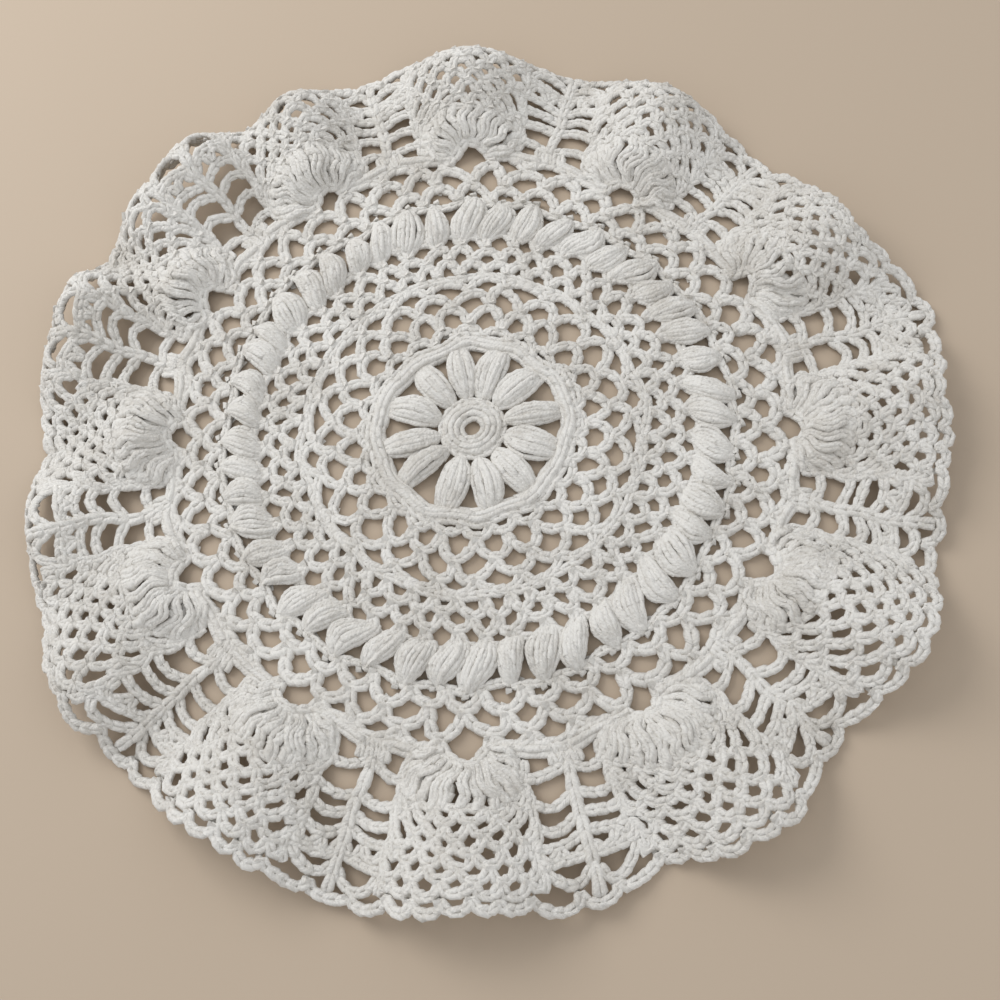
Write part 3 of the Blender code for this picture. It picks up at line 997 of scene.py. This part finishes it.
def treble_paths(places=17):
    """The middle line of each treble of all the fans, and its height."""
    spread = np.linspace(-1, 1, TREBLES)
    spread = spread[None, :] + SPREAD_UNEVEN * chance.uniform(-1, 1, (REPEATS, TREBLES))
    foot_turn = np.radians(FAN_LOOP_HALF * spread)
    foot_way = np.stack([np.cos(foot_turn), np.sin(foot_turn)], -1)
    loop_middle = np.array([FAN_LOOP_MIDDLE, 0])
    foot = foot_way * FAN_LOOP_RADIUS + loop_middle
    top = fan_ends(spread)
    top_way = unit(top - loop_middle)
    top = top + TOP_UNEVEN * chance.uniform(-1, 1, spread.shape)[..., None] * top_way
    share = np.linspace(0, 1, places)
    line = smooth_path(foot, foot_way, top, top_way, share)

    lag = chance.uniform(0, 2 * math.pi, (REPEATS, 1)) + WAVE.lag * spread
    lag = lag + WAVE.lag_uneven * chance.uniform(-1, 1, spread.shape)
    deep = WAVE.middle + WAVE.side * np.abs(spread)
    deep = WAVE.depth * (deep + WAVE.uneven * chance.uniform(-1, 1, spread.shape))
    wave = np.sin(WAVE.turn * share**WAVE.gather + lag[..., None])
    wave = deep[..., None] * (np.sin(math.pi * share) ** WAVE.fade * wave)
    line = line + wave[..., None] * square_to(top_way)[:, :, None]
    heap = chance.uniform(-1, 1, spread.shape)[..., None]
    lift = TREBLE_LIFT * np.sin(math.pi * share) * (HEAP + HEAP_UNEVEN * heap)
    return line, lift


# %% Two layers of yarn
PAIR_HALF = 0.0006
TREBLE_WIDTH = (0.8, 1.2)
UNDER_WIDTH = (1.2, 1.9)
UNDER_GROUND = 0.8
UNDER_LIFT = 0.4


def round_fans(line):
    """Each fan's lines turned to that fan's place."""
    turns = np.radians(REPEAT * np.arange(REPEATS))[:, None, None]
    x, y = line[..., 0], line[..., 1]
    east = x * np.cos(turns) - y * np.sin(turns)
    north = x * np.sin(turns) + y * np.cos(turns)
    return np.stack([east, north], -1).reshape(-1, line.shape[2], 2)


fans = Work("fans")
line, lift = treble_paths()
lift = YARN_LIFT + lift.reshape(-1, lift.shape[-1])
# The pair of yarns opens a little on its way from the foot.
opening = ease(np.linspace(-0.3, 1, line.shape[2]), -0.6, 0.5)[:, None]
sideways = square_to(unit(np.gradient(line, axis=2))) * opening
for half in (-PAIR_HALF, PAIR_HALF):
    lay_stitches(fans, STRAND, round_fans(line + half * sideways), lift, TREBLE_WIDTH)
under, lift = treble_paths()
lift = UNDER_GROUND * YARN_LIFT + UNDER_LIFT * lift.reshape(-1, lift.shape[-1])
lay_stitches(fans, STRAND, round_fans(under), lift, UNDER_WIDTH)
finish_work(fans)

# %% [markdown]
# ## Netting over the fans
# Six rows of small loops carry each fan out to the rim, every row set half a loop over from
# the last. The first row follows the fan's rounded edge and the last follows the rim, so the
# rows lie deeper at the fan's sides. They are all the same loop, so one function places them
# by row and number.

# %% Netting
NET_ROWS = 6
NET_END = 0.1692
NET_LOOP = 3.0
NET_LEAN = 0.25
NET_WIDTH = 1.15
LOOP_GAP = 0.03
HALF_LOOP_RISE = 0.25
WHOLE_LOOPS = NET_LOOP * np.arange(-3, 4)
HALF_OVER = np.concatenate([[-NET_HALF], NET_LOOP * np.arange(-2.5, 3), [NET_HALF]])


def net_place(rows, angle):
    """How far out a row of netting lies, rows up from the fan's edge."""
    start = fan_edge(angle)
    return start + (NET_END - start) * rows / NET_ROWS


def net_row(number, middle):
    """The loops of one row over one fan, and the angles of their inner feet."""
    feet = WHOLE_LOOPS if number % 2 else HALF_OVER
    turn, side = loop_steps(LOOP_GAP, 9)
    wide = np.diff(feet)[:, None]
    lean = NET_LEAN * chance.uniform(-1, 1, wide.shape)
    angle = feet[:-1, None] + wide * side + lean * np.sin(turn)
    rise = np.minimum(1.0, wide / NET_LOOP + HALF_LOOP_RISE)
    radius = net_place(number - 1 + rise * np.sin(turn) ** LOOP_POINT, angle)
    return polar(radius, angle + middle), feet[1:-1]


# %% Fans' outlines and rows
SIDE_TOP = 0.1685
SIDE_WIDTH = 1.1
SIDE_SWAY = 0.3
SIDE_WAVES = 480
OVER_SWAY = 0.0005
OVER_WAVES = 1.75

netting = Work("netting")
climb = np.linspace(FAN_SIDE, SIDE_TOP, 13)
over = np.linspace(-NET_HALF, NET_HALF, 21)
for middle in REPEAT * np.arange(REPEATS):
    for side in (-1, 1):
        sway = SIDE_SWAY * np.sin(climb * SIDE_WAVES + chance.uniform(0, 6))
        line = polar(climb, side * NET_HALF + sway + middle)
        lay_stitches(netting, CHAIN, line[None], YARN_LIFT, SIDE_WIDTH)
    sway = OVER_SWAY * np.sin(over * OVER_WAVES + chance.uniform(0, 6))
    line = polar(fan_edge(over) + sway, over + middle)
    lay_stitches(netting, CHAIN, line[None], YARN_LIFT)
    for number in range(1, NET_ROWS + 1):
        loops, feet = net_row(number, middle)
        lay_stitches(netting, CHAIN, loops, YARN_LIFT, NET_WIDTH)
        for foot in feet:
            tie = knots(net_place(number - 1, foot), [foot + middle])
            lay_stitches(netting, KNOT, tie, count=1)
cloth = finish_work(netting)

# %% [markdown]
# ## Valleys
# Between two fans a narrow column climbs to the rim, joined to the fans by chains like the
# rungs of a ladder. They rise away from the column and bow outwards. The first gap is low, the
# second tall. Two small loops fill the gap under the last rung on each side. Under the edge
# stands one round loop on each side, and in one valley more small loops instead.

# %% Columns and rungs
COLUMN_INNER = 0.1262
COLUMN_OUTER = 0.1722
COLUMN_WIDTH = 1.3
Rung = namedtuple("Rung", "radius far bow")
RUNGS = (
    Rung(0.1272, 6.4, 0.0018),
    Rung(0.1378, 6.0, 0.0020),
    Rung(0.1450, 5.8, 0.0018),
    Rung(0.1510, 5.8, 0.0016),
    Rung(0.1584, 6.0, 0.0006),
)
RUNG_NEAR = 0.5
RUNG_CLIMB = 0.0024
BOW_UNEVEN = 0.3
VALLEY_WIDTH = 1.1

valleys = Work("valleys")
column = np.linspace(COLUMN_INNER, COLUMN_OUTER, 15)
path = in_repeats(column, np.full(len(column), VALLEY))
lay_stitches(valleys, CHAIN, path, POST_LIFT, COLUMN_WIDTH)
share = np.linspace(0, 1, 7)
for rung in RUNGS:
    for side in (-1, 1):
        angle = VALLEY + side * (RUNG_NEAR + (rung.far - RUNG_NEAR) * share)
        bow = rung.bow * (1 + BOW_UNEVEN * chance.uniform(-1, 1, REPEATS))[:, None]
        radius = rung.radius + bow * np.sin(math.pi * share) + RUNG_CLIMB * share
        lay_stitches(valleys, CHAIN, in_repeats(radius, angle), YARN_LIFT, VALLEY_WIDTH)

# %% Loops in the valleys
SMALL_ROWS = (0.1546, 0.1602, 0.1640)
SMALL_FEET = ((0.4, 3.2, 5.8), (0.4, 1.9, 4.5, 5.8))
SMALL_RISE = 0.0044
SMALL_POINT = 0.8
RIM_LOOP_FEET = (0.3, 5.6)
RIM_LOOP_FOOT = 0.1606
RIM_LOOP_RISE = 0.0074
RIM_LOOP_POINT = 0.6
RISE_UNEVEN = 0.15
CLOSE_VALLEY = 0


def valley_loops(numbers, feet, foot, rise, point):
    """The same loop in these valleys, on both sides of the column."""
    share = np.linspace(LOOP_GAP, 1 - LOOP_GAP, 9)
    middles = REPEAT * (np.asarray(numbers) + 0.5)[:, None]
    for side in (-1, 1):
        angle = middles + side * (feet[0] + (feet[1] - feet[0]) * share)
        uneven = 1 + RISE_UNEVEN * chance.uniform(-1, 1, (len(middles), 1))
        radius = foot + rise * uneven * np.sin(math.pi * share) ** point
        lay_stitches(valleys, CHAIN, polar(radius, angle), YARN_LIFT, VALLEY_WIDTH)


everywhere = np.arange(REPEATS)
for number, foot in enumerate(SMALL_ROWS):
    feet_angles = SMALL_FEET[number % 2]
    numbers = [CLOSE_VALLEY] if number else everywhere
    for feet in zip(feet_angles, feet_angles[1:]):
        valley_loops(numbers, feet, foot, SMALL_RISE, SMALL_POINT)
others = np.delete(everywhere, CLOSE_VALLEY)
valley_loops(others, RIM_LOOP_FEET, RIM_LOOP_FOOT, RIM_LOOP_RISE, RIM_LOOP_POINT)
finish_work(valleys)

# %% [markdown]
# ## The edge
# The last round is one more row of arches, narrow over the fans and wider over the valleys.
# Each stands free of the next, so the rim reads as a row of small uneven scallops.

# %% Edge arches
EDGE_FOOT = 0.1697
EDGE_TOP = 0.1742
EDGE_UNEVEN = 0.0006
EDGE_POINT = 0.9
EDGE_WIDTH = 1.15
EDGE_KNOT_WIDTH = 1.1
EDGE_FEET = np.array((-7.5, -4.5, -1.5, 1.5, 4.5, 7.5, 12.5, 17.5, 22.5))

edging = Work("edging")
turn, _ = loop_steps(LOOP_END, 11)
wide = np.diff(EDGE_FEET)[:, None]
angle = EDGE_FEET[:-1, None] + wide / 2 * (1 - np.cos(turn))
angle = angle + REPEAT * np.arange(REPEATS)[:, None, None]
tops = EDGE_TOP + EDGE_UNEVEN * chance.uniform(-1, 1, (*angle.shape[:2], 1))
radius = EDGE_FOOT + (tops - EDGE_FOOT) * np.sin(turn) ** EDGE_POINT
paths = polar(radius, angle).reshape(-1, len(turn), 2)
lay_stitches(edging, CHAIN, paths, YARN_LIFT, EDGE_WIDTH)
for middle in REPEAT * np.arange(REPEATS):
    ties = knots(EDGE_FOOT, EDGE_FEET[:-1] + middle)
    lay_stitches(edging, KNOT, ties, YARN_LIFT, EDGE_KNOT_WIDTH, 1)
finish_work(edging)

# %% [markdown]
# ## One sheet of cloth
# All the pieces are one cloth. Laid flat, before its fans puff and its rim ruffles, the doily
# is a disc as wide as the chart.

# %% [markdown]
# ## Camera, floor and light
# The camera looks down steeply, a little turned, from about arm's length. A wide soft light
# stands at the upper left of its picture and a pale world fills the shadows.

# %% Camera
CAMERA_AZIMUTH = -78.162
CAMERA_ELEVATION = 69.583
CAMERA_ROLL = -12.304
CAMERA_DISTANCE = 0.43197
CAMERA_LENS = 42.19
TARGET = Vector((0.010336, -0.028084, 0.0)) + Vector(MIDDLE)

azimuth, elevation = math.radians(CAMERA_AZIMUTH), math.radians(CAMERA_ELEVATION)
back = Vector(
    (
        math.cos(elevation) * math.cos(azimuth),
        math.cos(elevation) * math.sin(azimuth),
        math.sin(elevation),
    )
)
level = Vector((0, 0, 1)).cross(back).normalized()
head = back.cross(level)
roll = math.radians(CAMERA_ROLL)
right = math.cos(roll) * level + math.sin(roll) * head
up = -math.sin(roll) * level + math.cos(roll) * head
camera_data = bpy.data.cameras.new("camera")
camera_data.lens = CAMERA_LENS
camera_data.clip_start = 0.01
camera = bpy.data.objects.new("camera", camera_data)
place = TARGET + CAMERA_DISTANCE * back
camera.matrix_world = Matrix(
    (
        (right.x, up.x, back.x, place.x),
        (right.y, up.y, back.y, place.y),
        (right.z, up.z, back.z, place.z),
        (0, 0, 0, 1),
    )
)
bpy.context.collection.objects.link(camera)
bpy.context.scene.camera = camera

# %% Floor
FLOOR_SIZE = 4.0
FLOOR_COLOUR = (0.50, 0.40, 0.30, 1.0)
FLOOR_ROUGHNESS = 0.7

deselect()
bpy.ops.mesh.primitive_plane_add(size=FLOOR_SIZE, location=(0, 0, 0))
floor = bpy.context.object
floor.name = "floor"
floor_paint = bpy.data.materials.new("floor paint")
floor_paint.use_nodes = True
paint = floor_paint.node_tree.nodes["Principled BSDF"]
paint.inputs["Base Color"].default_value = FLOOR_COLOUR
paint.inputs["Roughness"].default_value = FLOOR_ROUGHNESS
floor.data.materials.append(floor_paint)

# %% Light
KEY_POWER = 7.5
KEY_SIZE = 0.7
FILL_POWER = 1.5
FILL_SIZE = 1.2
ROOM_COLOUR = (0.95, 0.97, 1.0, 1.0)
ROOM_STRENGTH = 0.68


def soft_light(name, where, power, size):
    """An area light that looks at the doily."""
    data = bpy.data.lights.new(name, "AREA")
    data.energy = power
    data.size = size
    light = bpy.data.objects.new(name, data)
    light.location = where
    light.rotation_euler = (-Vector(where)).to_track_quat("-Z", "Y").to_euler()
    bpy.context.collection.objects.link(light)


soft_light("key", -0.75 * right + 0.75 * up + 0.5 * back, KEY_POWER, KEY_SIZE)
soft_light("fill", 0.9 * right - 0.3 * up + 0.7 * back, FILL_POWER, FILL_SIZE)
world = bpy.data.worlds.new("pale room")
world.use_nodes = True
background = world.node_tree.nodes["Background"]
background.inputs["Color"].default_value = ROOM_COLOUR
background.inputs["Strength"].default_value = ROOM_STRENGTH
bpy.context.scene.world = world
bpy.context.scene.view_settings.view_transform = "Standard"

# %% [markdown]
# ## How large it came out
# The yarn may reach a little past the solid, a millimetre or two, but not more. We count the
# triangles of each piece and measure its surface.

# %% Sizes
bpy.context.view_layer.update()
total = 0
for piece in pieces:
    piece.data.calc_loop_triangles()
    count = len(piece.data.loop_triangles)
    area = sum(face.area for face in piece.data.polygons)
    total += count
    print(f"{piece.name}: {count} triangles, {area:.4f} m2 of surface")
print(total, "triangles in all")
